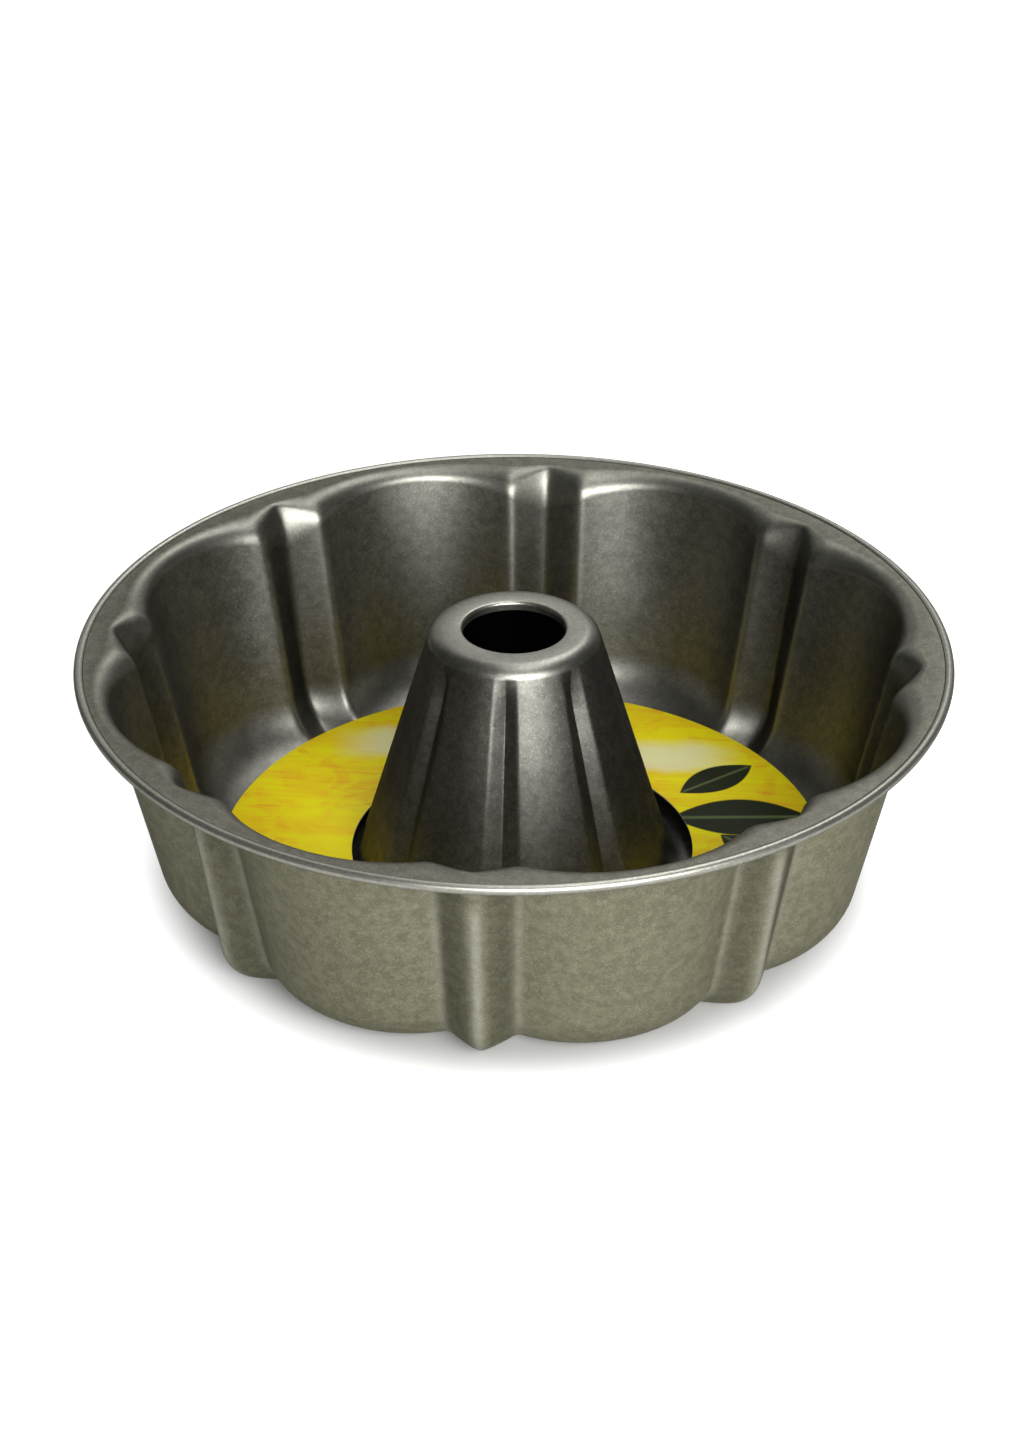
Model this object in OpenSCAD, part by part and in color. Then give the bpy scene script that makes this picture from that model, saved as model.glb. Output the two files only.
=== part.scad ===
// Ring cake pan, drawn from one sheet of steel, with a loose printed ring of card in it.
//
// Sizes are millimetres. Z is the pan's axis and points up, and the floor stands on z = 0.
// One V rib points along -Y, and the other ribs follow round the axis at equal steps.
// The sheet is described by its lower skin, and its upper skin lies one sheet thickness
// away along the surface normal, so the wall keeps its thickness over every fold.

/* [Rim] */
// Outside diameter over the rolled rim
rim_d = 250; // [220:5:280]
// Height from the table to the top of the rolled rim
rim_h = 74.6; // [60:0.5:95]
// Outside diameter of the rolled bead
bead_d = 2.8; // [2.4:0.1:3.6]
// Height of the flange's upper face above the centre of the bead
flange_up = 0.8; // [0.6:0.05:0.9]

/* [Sheet] */
// Thickness of the steel sheet
sheet_t = 0.6; // [0.5:0.05:0.7]

/* [Wall] */
// Number of lobes, and of V ribs between them
lobes = 8; // [6:1:10]
// Distance from the rim's outside to the middle of a lobe, at the height of the bead
lobe_in = 7.4; // [6.5:0.1:10]
// Lean of a lobe from upright, in degrees
lobe_taper = 12.1; // [8:0.1:16]
// Radius of the bend from a lobe into the floor
lobe_foot_r = 20.3; // [12:0.1:24]
// Radius of the bend from the flange into a lobe
lobe_shoulder_r = 4.2; // [2.5:0.1:5.5]
// Fullness of a lobe's curve between its creases: 2 is a parabola
lobe_power = 2.1; // [1.6:0.1:3]
// Distance from the rim's outside to the tip of a V rib, at the height of the bead
rib_in = 11.4; // [10.5:0.1:13.5]
// Lean of a rib's tip from upright, in degrees
rib_taper = 8.7; // [6:0.1:11]
// Radius of the bend from a rib's tip into the floor
rib_foot_r = 17.2; // [12:0.1:22]
// Radius of the flare at the top of a rib's tip
rib_flare_r = 30; // [15:0.5:32]
// Radius of the bend from the flange into that flare
rib_edge_r = 1.8; // [0.8:0.1:3]
// Half of the angle that a rib takes up round the axis, in degrees
rib_half_a = 5.9; // [4.5:0.1:7.5]
// Distance from the rim's outside to the creases beside a rib, at the height of the bead
crease_in = 15.6; // [14.5:0.1:18]
// Lean of a crease from upright, in degrees
crease_taper = 11.3; // [9:0.1:14]
// Radius of the bend from a crease into the floor
crease_foot_r = 19.2; // [12:0.1:22]
// Radius of the bend from the flange into a crease
crease_shoulder_r = 8.6; // [5:0.1:9.5]
// Softness of the folds, as an angle round the axis, in degrees
fold_a = 0.9; // [0.5:0.1:1.3]

/* [Tube] */
// Height from the table to the tube's flat top
tube_h = 80; // [70:0.5:100]
// Radius of the tube where its side would meet its flat top
tube_top_r = 23.9; // [21:0.1:28]
// Lean of the tube's side from upright, in degrees
tube_taper = 16.7; // [12:0.1:18]
// Radius of the bend between the tube's side and its flat top
tube_corner_r = 5; // [3:0.1:6]
// Radius of the bend from the tube into the floor
tube_foot_r = 5; // [3:0.1:7]
// Depth of the V grooves in the tube
groove_d = 2.3; // [1.5:0.1:3]
// Half of the angle that a groove takes up round the axis, in degrees
groove_half_a = 7.6; // [5.5:0.1:9]
// Height over which a groove runs out at either end
groove_run_h = 7; // [4:0.5:12]
// Diameter of the hole in the tube's flat top
hole_d = 29.5; // [24:0.5:32]
// Thickness of the lip that is turned down round the hole
lip_t = 0.9; // [0.8:0.05:1.1]
// Depth of that lip below the tube's flat top
lip_h = 2.6; // [2:0.1:4]

/* [Card] */
// Outside diameter of the printed card
card_d = 179; // [170:1:184]
// Diameter of the hole in the card
card_hole_d = 101; // [99:0.2:110]
// Thickness of the card
card_t = 0.5; // [0.3:0.1:1]
// How far off the pan's axis the loose card lies, to the right
card_off_x = 2.5; // [0:0.1:2.5]
// How far off the pan's axis the loose card lies, to the front
card_off_y = 1.2; // [0:0.1:1.5]
// Clearance between the card's lower face and the bends it lies on
card_gap = 0.3; // [0.2:0.05:0.4]

/* [Hidden] */
$fn = 96;
bead_fn = 24;

rim_r = rim_d / 2;
bead_r = bead_d / 2;
bead_z = rim_h - bead_r;
flange_z = bead_z + flange_up - sheet_t;

// The flange ends inside the bead, short of the bead's middle.
bead_c_r = rim_r - bead_r;
flange_edge_r = bead_c_r - bead_r / 4;

// A wall line is [radius at the bead's height, lean, foot radius, shoulder radius, edge
// radius]. The edge is the shoulder's first bend from the flange: only a rib's is sharper.
lobe_line = [rim_r - lobe_in, lobe_taper, lobe_foot_r, lobe_shoulder_r, lobe_shoulder_r];
rib_line = [rim_r - rib_in, rib_taper, rib_foot_r, rib_flare_r, rib_edge_r];
crease_line =
    [rim_r - crease_in, crease_taper, crease_foot_r, crease_shoulder_r, crease_shoulder_r];
// Share of the shoulder's whole turn that its edge takes
edge_turn_share = 0.7;

hole_r = hole_d / 2;
lip_edge_r = hole_r + lip_t / 2;
// How far the lip's rounded edge stands above the tube's flat top
lip_up = lip_t / 8;

// Angles of the points round one lobe, as shares of the rib's half angle and then as shares
// of what is left up to the middle of the lobe.
rib_shares = [0, 0.14, 0.56, 0.86, 1, 1.14];
lobe_shares = [0.25, 0.5, 0.75, 1];
half_count = len(rib_shares) + len(lobe_shares) - 1;
lobe_count = 2 * half_count;
half_a = 180 / lobes;

// Stations down the sheet are [zone, share of that zone].
FLANGE = 0;
SHOULDER = 1;
FOOT = 2;
TUBE_FOOT = 3;
TUBE_SIDE = 4;
TUBE_CORNER = 5;
TUBE_TOP = 6;
shoulder_steps = 6;
foot_steps = 6;
tube_foot_steps = 3;
tube_corner_steps = 3;
tube_side_shares = [0.12, 0.88];
wall_stations = concat(
    [[FLANGE, 0]],
    [for (k = [0:shoulder_steps]) [SHOULDER, k / shoulder_steps]],
    [for (k = [0:foot_steps]) [FOOT, k / foot_steps]]
);
tube_stations = concat(
    [for (k = [0:tube_foot_steps]) [TUBE_FOOT, k / tube_foot_steps]],
    [for (share = tube_side_shares) [TUBE_SIDE, share]],
    [for (k = [0:tube_corner_steps]) [TUBE_CORNER, k / tube_corner_steps]],
    [[TUBE_TOP, 1]]
);

// Step of the differences that give a surface normal
probe_share = 0.001;

// A ramp that is 0 well below zero and x well above it, with a soft bend between.
function ramp(x, soft) = x <= -soft ? 0 : x >= soft ? x : (x + soft) ^ 2 / (4 * soft);

// Angle from the nearest rib, which is 0 on a rib and half_a in the middle of a lobe.
function from_rib(a) = abs(a - 2 * half_a * round(a / (2 * half_a)));

// Share of the V at an angle from its middle: 1 at the tip and 0 from the crease on.
function v_share(a, v_half_a) =
    let (tip = function (x) sqrt(x ^ 2 + fold_a ^ 2) - fold_a)
    ramp(tip(v_half_a) - tip(from_rib(a)), fold_a) / tip(v_half_a);

// Share of the lobe's bulge at an angle: 0 up to the crease and 1 in the lobe's middle.
function lobe_share(a) =
    let (past = ramp(from_rib(a) - rib_half_a, fold_a) / (half_a - rib_half_a))
    1 - max(0, 1 - past) ^ lobe_power;

// A point [r, z] on a bend round centre c.
function on_bend(c, r, a) = c + r * [cos(a), sin(a)];

// Angle on the shoulder: its edge takes the first half of the stations.
function shoulder_a(line, share) =
    90 + (90 - line[1]) * (share < 1 / 2
        ? 2 * share * edge_turn_share
        : 1 - 2 * (1 - share) * (1 - edge_turn_share));

// Centre [r, z] of the lower part of the shoulder, which runs on into the wall line.
function shoulder_c(line) =
    let (
        more_r = line[3] - line[4],
        z = flange_z - line[4] - more_r * sin(shoulder_a(line, 1 / 2))
    )
    [line[0] + ((z - bead_z) * sin(line[1]) + line[3]) / cos(line[1]), z];

// Centre [r, z] of the shoulder's edge, which touches the flange.
function edge_c(line) =
    let (a = shoulder_a(line, 1 / 2))
    shoulder_c(line) + (line[3] - line[4]) * [cos(a), sin(a)];

// Centre [r, z] of the bend between a wall line and the floor.
function foot_c(line) =
    [line[0] + ((line[2] - bead_z) * sin(line[1]) - line[2]) / cos(line[1]), line[2]];

// Point [r, z] on the lower skin along one wall line.
function wall_point(line, zone, share) =
    zone == FLANGE ? [flange_edge_r, flange_z]
    : zone == SHOULDER && share < 1 / 2
        ? on_bend(edge_c(line), line[4], shoulder_a(line, share))
    : zone == SHOULDER ? on_bend(shoulder_c(line), line[3], shoulder_a(line, share))
    : on_bend(foot_c(line), line[2], -line[1] - (90 - line[1]) * share);

// The tube's bends: centres [r, z], with the radii of the upper skin.
tube_foot_z = sheet_t + tube_foot_r;
tube_corner_z = tube_h - tube_corner_r;
tube_foot_c = [
    tube_top_r + (tube_foot_r + (tube_h - tube_foot_z) * sin(tube_taper)) / cos(tube_taper),
    tube_foot_z
];
tube_corner_c = [
    tube_top_r + tube_corner_r * (sin(tube_taper) - 1) / cos(tube_taper),
    tube_corner_z
];

// Point [r, z] on the tube's lower skin, before its grooves.
function tube_point(zone, share) =
    let (
        low = on_bend(tube_foot_c, tube_foot_r + sheet_t, 180 + tube_taper),
        high = on_bend(tube_corner_c, tube_corner_r - sheet_t, tube_taper)
    )
    zone == TUBE_FOOT
        ? on_bend(tube_foot_c, tube_foot_r + sheet_t, 270 - (90 - tube_taper) * share)
    : zone == TUBE_SIDE ? low + (high - low) * share
    : zone == TUBE_CORNER
        ? on_bend(tube_corner_c, tube_corner_r - sheet_t, tube_taper + (90 - tube_taper) * share)
    : [lip_edge_r, tube_h - sheet_t];

// Depth of a groove at height z: it runs out towards the floor and the tube's flat top.
function groove_at(z) =
    let (
        low = min(1, max(0, z / groove_run_h)),
        high = min(1, max(0, (tube_corner_z - z) / groove_run_h))
    )
    groove_d * low * (2 - low) * high * (2 - high);

// Point [x, y, z] on the lower skin at angle a, counted from the rib on -Y.
function lower_skin(zone, share, a) =
    let (
        on_wall = zone < TUBE_FOOT,
        v = v_share(a, on_wall ? rib_half_a : groove_half_a),
        bulge = on_wall ? lobe_share(a) : 0,
        line = on_wall
            ? v * wall_point(rib_line, zone, share)
                + bulge * wall_point(lobe_line, zone, share)
                + (1 - v - bulge) * wall_point(crease_line, zone, share)
            : tube_point(zone, share),
        r = line[0] - (on_wall ? 0 : v * groove_at(line[1]))
    )
    [r * sin(a), -r * cos(a), line[1]];

// Unit normal of the lower skin, towards the cake.
function normal(zone, share, a) =
    let (
        d = probe_share,
        down = lower_skin(zone, share + d, a) - lower_skin(zone, share - d, a),
        round = lower_skin(zone, share, a + d) - lower_skin(zone, share, a - d),
        n = cross(round, down)
    )
    n / norm(n);

function is_flat(zone, share) =
    zone == FLANGE || zone == TUBE_TOP
    || (zone == SHOULDER && share == 0) || (zone == FOOT && share == 1)
    || (zone == TUBE_FOOT && share == 0) || (zone == TUBE_CORNER && share == 1);

// Point on the upper skin, one sheet thickness above the lower skin.
function upper_skin(zone, share, a) =
    lower_skin(zone, share, a)
    + sheet_t * (is_flat(zone, share) ? [0, 0, 1] : normal(zone, share, a));

// Angle of point i on a ring, counted from a rib's tip to the next rib's tip.
function ring_angle(i, v_half_a) =
    let (
        step = i % lobe_count,
        j = min(step, lobe_count - step),
        ribs = len(rib_shares),
        a = j < ribs
            ? v_half_a * rib_shares[j]
            : v_half_a + (half_a - v_half_a) * lobe_shares[j - ribs]
    )
    2 * half_a * floor(i / lobe_count) + (step > half_count ? 2 * half_a - a : a);

// All the points of one skin, ring by ring. The tube has every second point of the wall.
wall_n = lobes * lobe_count;
tube_n = wall_n / 2;
lower_points = concat(
    [for (s = wall_stations, i = [0:wall_n - 1])
        lower_skin(s[0], s[1], ring_angle(i, rib_half_a))],
    [for (s = tube_stations, i = [0:tube_n - 1])
        lower_skin(s[0], s[1], ring_angle(2 * i, groove_half_a))]
);
upper_points = concat(
    [for (s = wall_stations, i = [0:wall_n - 1])
        upper_skin(s[0], s[1], ring_angle(i, rib_half_a))],
    [for (s = tube_stations, i = [0:tube_n - 1])
        upper_skin(s[0], s[1], ring_angle(2 * i, groove_half_a))]
);

// Triangles between two rings of n points that start at a and b. The diagonals turn over
// in the middle of each lobe, so both halves of a lobe are alike.
function band(a, b, n, per_lobe) = [
    for (i = [0:n - 1])
        let (
            j = (i + 1) % n,
            rising = (i % per_lobe) < per_lobe / 2
        )
        each rising
            ? [[a + i, b + i, b + j], [a + i, b + j, a + j]]
            : [[a + i, b + i, a + j], [b + i, b + j, a + j]]
];

// Triangles from a ring of 2 n points at a to a ring of n points at b.
function halving_band(a, b, n) = [
    for (i = [0:n - 1])
        let (
            a0 = a + 2 * i,
            a1 = a0 + 1,
            a2 = a + (2 * i + 2) % (2 * n),
            j = (i + 1) % n
        )
        each [[a0, b + i, a1], [a1, b + i, b + j], [a1, b + j, a2]]
];

function turned(faces) = [for (f = faces) [f[2], f[1], f[0]]];

wall_rings = len(wall_stations);
tube_rings = len(tube_stations);
tube_start = wall_rings * wall_n;
skin_faces = concat(
    [for (k = [0:wall_rings - 2])
        each band(k * wall_n, (k + 1) * wall_n, wall_n, lobe_count)],
    halving_band(tube_start - wall_n, tube_start, tube_n),
    [for (k = [0:tube_rings - 2])
        each band(tube_start + k * tube_n, tube_start + (k + 1) * tube_n, tube_n, half_count)]
);
skin_n = len(lower_points);
shell_faces = concat(
    turned(skin_faces),
    [for (f = skin_faces) [f[0] + skin_n, f[1] + skin_n, f[2] + skin_n]],
    band(0, skin_n, wall_n, lobe_count),
    band(2 * skin_n - tube_n, skin_n - tube_n, tube_n, half_count)
);

// Height of the upper skin along a wall line at a distance from the axis: on the floor, the
// foot, the wall, the shoulder or the flange.
function skin_height(line, reach) =
    let (
        foot = foot_c(line),
        foot_r = line[2] - sheet_t,
        past = reach - foot[0],
        shoulder = shoulder_c(line),
        shoulder_r = line[3] + sheet_t,
        short = max(0, shoulder[0] - reach)
    )
    past <= 0 ? sheet_t
    : past <= foot_r * cos(line[1]) ? foot[1] - sqrt(foot_r ^ 2 - past ^ 2)
    : short >= shoulder_r * cos(line[1])
        ? foot[1] - foot_r * sin(line[1]) + (past - foot_r * cos(line[1])) / tan(line[1])
    : shoulder[1] + sqrt(shoulder_r ^ 2 - short ^ 2);

// The card lies on the creases, which come furthest in, at its edge.
card_reach = card_d / 2 + norm([card_off_x, card_off_y]);
card_z = card_gap + skin_height(crease_line, card_reach);

// The drawn sheet from the flange over the wall and the floor to the tube's flat top.
module drawn_sheet() {
    polyhedron(points = concat(lower_points, upper_points), faces = shell_faces, convexity = 6);
}

// The sheet's edge, rolled under and closed up tight into a round bead.
module rolled_rim() {
    rotate_extrude()
        translate([bead_c_r, bead_z])
            circle(r = bead_r, $fn = bead_fn);
}

// The lip turned down round the tube's hole: the hole's wall is a true cylinder.
module hole_lip() {
    round_z = tube_h + lip_up - lip_t / 2;
    wall_h = lip_h + lip_up - lip_t / 2;
    rotate_extrude()
        union() {
            translate([lip_edge_r, round_z])
                circle(d = lip_t, $fn = bead_fn);
            translate([hole_r, round_z - wall_h])
                square([lip_t, wall_h]);
        }
}

// The pan: one drawn sheet with its rolled rim and the lip of its tube.
module pan_body() {
    color([0.34, 0.34, 0.31])
        union() {
            drawn_sheet();
            rolled_rim();
            hole_lip();
        }
}

// The printed ring of card, which lies loose on the creases' feet round the tube.
module card_insert() {
    color([0.95, 0.78, 0.1])
        translate([card_off_x, -card_off_y, card_z])
            difference() {
                cylinder(d = card_d, h = card_t);
                translate([0, 0, -card_t])
                    cylinder(d = card_hole_d, h = 3 * card_t);
            }
}

pan_body();
card_insert();
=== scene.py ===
"""Studio scene of a ring cake pan drawn from one steel sheet, with a printed card in it."""

import bisect
import logging
import math
from dataclasses import dataclass, field
from enum import Enum
from typing import Any, Iterable, Sequence

import bmesh
import bpy
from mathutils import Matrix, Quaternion, Vector


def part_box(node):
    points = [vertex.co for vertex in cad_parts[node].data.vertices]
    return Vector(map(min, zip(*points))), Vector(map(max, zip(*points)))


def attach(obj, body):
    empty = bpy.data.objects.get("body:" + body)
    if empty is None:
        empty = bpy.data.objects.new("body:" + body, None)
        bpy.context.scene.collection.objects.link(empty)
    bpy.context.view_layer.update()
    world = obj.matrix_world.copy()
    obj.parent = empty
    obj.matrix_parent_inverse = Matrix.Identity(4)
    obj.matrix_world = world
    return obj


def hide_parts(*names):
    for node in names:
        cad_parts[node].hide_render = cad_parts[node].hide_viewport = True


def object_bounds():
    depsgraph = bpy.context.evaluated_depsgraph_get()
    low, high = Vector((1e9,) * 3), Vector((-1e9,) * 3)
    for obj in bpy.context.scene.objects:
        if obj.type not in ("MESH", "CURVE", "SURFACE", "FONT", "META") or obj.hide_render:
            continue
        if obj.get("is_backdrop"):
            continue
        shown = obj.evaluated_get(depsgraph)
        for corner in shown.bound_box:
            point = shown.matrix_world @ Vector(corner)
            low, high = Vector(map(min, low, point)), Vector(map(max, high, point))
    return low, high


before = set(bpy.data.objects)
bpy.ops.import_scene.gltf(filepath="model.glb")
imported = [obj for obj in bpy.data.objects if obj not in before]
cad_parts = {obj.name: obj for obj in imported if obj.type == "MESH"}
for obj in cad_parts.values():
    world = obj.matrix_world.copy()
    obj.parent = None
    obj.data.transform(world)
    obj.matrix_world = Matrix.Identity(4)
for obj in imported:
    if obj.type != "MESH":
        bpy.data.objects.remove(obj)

log = logging.getLogger("ring_pan")
MM = 0.001


class Zone(Enum):
    """Stretches of the sheet, in order from the rim's rolled edge to the tube's lip."""

    CURL = "curl"
    NECK = "neck"
    SHOULDER = "shoulder"
    WALL = "wall"
    FOOT = "foot"
    FLOOR = "floor"
    TUBE_FOOT = "tube_foot"
    TUBE_SIDE = "tube_side"
    TUBE_CORNER = "tube_corner"
    LIP_BEND = "lip_bend"
    LIP = "lip"


WALL_ZONES = (Zone.CURL, Zone.NECK, Zone.SHOULDER, Zone.WALL, Zone.FOOT)
TUBE_ZONES = (Zone.TUBE_FOOT, Zone.TUBE_SIDE, Zone.TUBE_CORNER)
LIP_ZONES = (Zone.LIP_BEND, Zone.LIP)


# Small helpers


def deselect_all() -> None:
    """Leave edit mode if need be, and select nothing."""
    if bpy.context.object and bpy.context.object.mode != "OBJECT":
        bpy.ops.object.mode_set(mode="OBJECT")
    bpy.ops.object.select_all(action="DESELECT")


def make_active(piece: bpy.types.Object) -> None:
    """Select one object alone and make it active.

    Args:
        piece: the object to work on.
    """
    deselect_all()
    piece.select_set(True)
    bpy.context.view_layer.objects.active = piece


def apply_place(piece: bpy.types.Object) -> None:
    """Put an object's place, turn and scale into its mesh.

    Args:
        piece: the object to bring to the origin.
    """
    make_active(piece)
    bpy.ops.object.transform_apply(location=True, rotation=True, scale=True)


def ramp(x: float, soft: float) -> float:
    """Return 0 well below zero and x well above it, with a soft bend between.

    Args:
        x: where the ramp is read.
        soft: half of the width of the bend.

    Returns:
        The height of the ramp.
    """
    if x <= -soft:
        return 0.0
    return x if x >= soft else (x + soft) ** 2 / (4 * soft)


def direction(azimuth: float, elevation: float) -> Vector:
    """Return the direction from the pan towards a place around it.

    Args:
        azimuth: degrees round the axis, from -Y towards +X.
        elevation: degrees above the table.

    Returns:
        The direction, one long.
    """
    a, e = math.radians(azimuth), math.radians(elevation)
    return Vector((math.sin(a) * math.cos(e), -math.cos(a) * math.cos(e), math.sin(e)))


# Node graphs


@dataclass
class Graph:
    """A node tree with short ways to add, set and link its nodes."""

    tree: bpy.types.NodeTree
    column: int = 0

    def node(self, kind: str, **settings: Any) -> bpy.types.Node:
        """Add a node.

        Args:
            kind: the node's type name, without the leading ShaderNode.
            **settings: properties of the node, such as its operation.

        Returns:
            The new node.
        """
        made = self.tree.nodes.new(kind if kind.startswith("Node") else f"ShaderNode{kind}")
        made.location = (self.column * 180, -(self.column % 4) * 160)
        self.column += 1
        for name, value in settings.items():
            setattr(made, name, value)
        return made

    def feed(self, socket: bpy.types.NodeSocket, value: Any) -> None:
        """Link an output to a socket, or set the socket to a constant.

        Args:
            socket: the input socket.
            value: an output socket, a number or a colour.
        """
        if isinstance(value, bpy.types.NodeSocket):
            self.tree.links.new(value, socket)
        else:
            socket.default_value = value

    def math(self, operation: str, a: Any, b: Any = 0.0, c: Any = 0.0) -> bpy.types.NodeSocket:
        """Add a Math node and return its value.

        Args:
            operation: the operation's name.
            a: the first input.
            b: the second input.
            c: the third input.

        Returns:
            The node's output.
        """
        made = self.node("Math", operation=operation)
        for socket, value in zip(made.inputs, (a, b, c)):
            self.feed(socket, value)
        return made.outputs[0]

    def spread(self, value: Any, low: float, high: float, to_low: float = 0.0,
               to_high: float = 1.0) -> bpy.types.NodeSocket:
        """Add a clamped Map Range node.

        Args:
            value: what is mapped.
            low: the input that gives to_low.
            high: the input that gives to_high.
            to_low: the lowest result.
            to_high: the highest result.

        Returns:
            The mapped value.
        """
        made = self.node("MapRange", interpolation_type="SMOOTHSTEP")
        for index, item in enumerate((value, low, high, to_low, to_high)):
            self.feed(made.inputs[index], item)
        return made.outputs[0]

    def blend(self, share: Any, a: Any, b: Any, mode: str = "MIX") -> bpy.types.NodeSocket:
        """Add a colour Mix node.

        Args:
            share: how much of the second colour shows.
            a: the first colour.
            b: the second colour.
            mode: the blend type.

        Returns:
            The mixed colour.
        """
        made = self.node("Mix", data_type="RGBA", blend_type=mode)
        self.feed(made.inputs[0], share)
        self.feed(made.inputs[6], a)
        self.feed(made.inputs[7], b)
        return made.outputs[2]

    def noise(self, vector: Any, scale: Any, detail: float = 2.0, roughness: float = 0.5,
              distortion: float = 0.0) -> bpy.types.NodeSocket:
        """Add a Noise Texture and return its value.

        Args:
            vector: the coordinates.
            scale: noise cells in a metre.
            detail: how many finer layers it has.
            roughness: how strong the finer layers are.
            distortion: how far it is twisted.

        Returns:
            The noise, about 0.5 on average.
        """
        made = self.node("TexNoise")
        self.feed(made.inputs["Vector"], vector)
        self.feed(made.inputs["Scale"], scale)
        self.feed(made.inputs["Detail"], detail)
        self.feed(made.inputs["Roughness"], roughness)
        self.feed(made.inputs["Distortion"], distortion)
        return made.outputs["Fac"]

    def mapped(self, vector: Any, place: Sequence[float] = (0, 0, 0),
               turn: float = 0.0, scale: Sequence[float] = (1, 1, 1)) -> bpy.types.NodeSocket:
        """Add a Mapping node that centres, turns and then scales a pattern.

        Args:
            vector: the coordinates.
            place: the pattern's centre in metres.
            turn: its turn about Z in degrees.
            scale: how often it repeats along each axis.

        Returns:
            The mapped coordinates.
        """
        moved = self.node("VectorMath", operation="SUBTRACT")
        self.feed(moved.inputs[0], vector)
        self.feed(moved.inputs[1], tuple(place))
        made = self.node("Mapping", vector_type="POINT")
        self.feed(made.inputs["Vector"], moved.outputs[0])
        self.feed(made.inputs["Rotation"], (0.0, 0.0, -math.radians(turn)))
        self.feed(made.inputs["Scale"], tuple(scale))
        return made.outputs[0]

    def bump(self, height: Any, strength: float, distance: float,
             finer: Any = None) -> bpy.types.NodeSocket:
        """Add a Bump node.

        Args:
            height: the relief.
            strength: how strong it is.
            distance: how high it is, in metres.
            finer: the normal of a finer relief that it goes over.

        Returns:
            The bent normal.
        """
        made = self.node("Bump")
        made.inputs["Strength"].default_value = strength
        made.inputs["Distance"].default_value = distance
        self.feed(made.inputs["Height"], height)
        if finer is not None:
            self.feed(made.inputs["Normal"], finer)
        return made.outputs["Normal"]


def new_material(name: str) -> tuple[bpy.types.Material, Graph, bpy.types.Node]:
    """Start a material.

    Args:
        name: the material's name.

    Returns:
        The material, its graph and its Principled shader.
    """
    material = bpy.data.materials.new(name)
    material.use_nodes = True
    return material, Graph(material.node_tree), material.node_tree.nodes["Principled BSDF"]


@dataclass
class Group:
    """A shader node group with named inputs and outputs, built once and placed often."""

    name: str
    inputs: dict[str, float]
    outputs: Sequence[str]
    tree: bpy.types.NodeTree = field(init=False)
    graph: Graph = field(init=False)

    def __post_init__(self) -> None:
        """Make the empty group with its sockets."""
        self.tree = bpy.data.node_groups.new(self.name, "ShaderNodeTree")
        self.tree.interface.new_socket("Vector", in_out="INPUT", socket_type="NodeSocketVector")
        for name, value in self.inputs.items():
            made = self.tree.interface.new_socket(
                name, in_out="INPUT", socket_type="NodeSocketFloat")
            made.default_value = value
        for name in self.outputs:
            self.tree.interface.new_socket(name, in_out="OUTPUT", socket_type="NodeSocketFloat")
        self.graph = Graph(self.tree)
        self.entry = self.graph.node("NodeGroupInput")
        self.exit = self.graph.node("NodeGroupOutput")

    def value(self, name: str) -> bpy.types.NodeSocket:
        """Return one of the group's inputs, inside the group."""
        return self.entry.outputs[name]

    def give(self, name: str, value: bpy.types.NodeSocket) -> None:
        """Connect one of the group's outputs, inside the group."""
        self.graph.feed(self.exit.inputs[name], value)

    def place(self, graph: Graph, vector: Any, **values: float) -> bpy.types.Node:
        """Put the group into a material.

        Args:
            graph: the material's graph.
            vector: the coordinates for the group.
            **values: the group's inputs, with underscores for spaces.

        Returns:
            The group node.
        """
        made = graph.node("Group")
        made.node_tree = self.tree
        graph.feed(made.inputs["Vector"], vector)
        for name, value in values.items():
            graph.feed(made.inputs[name.replace("_", " ")], value)
        return made


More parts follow.
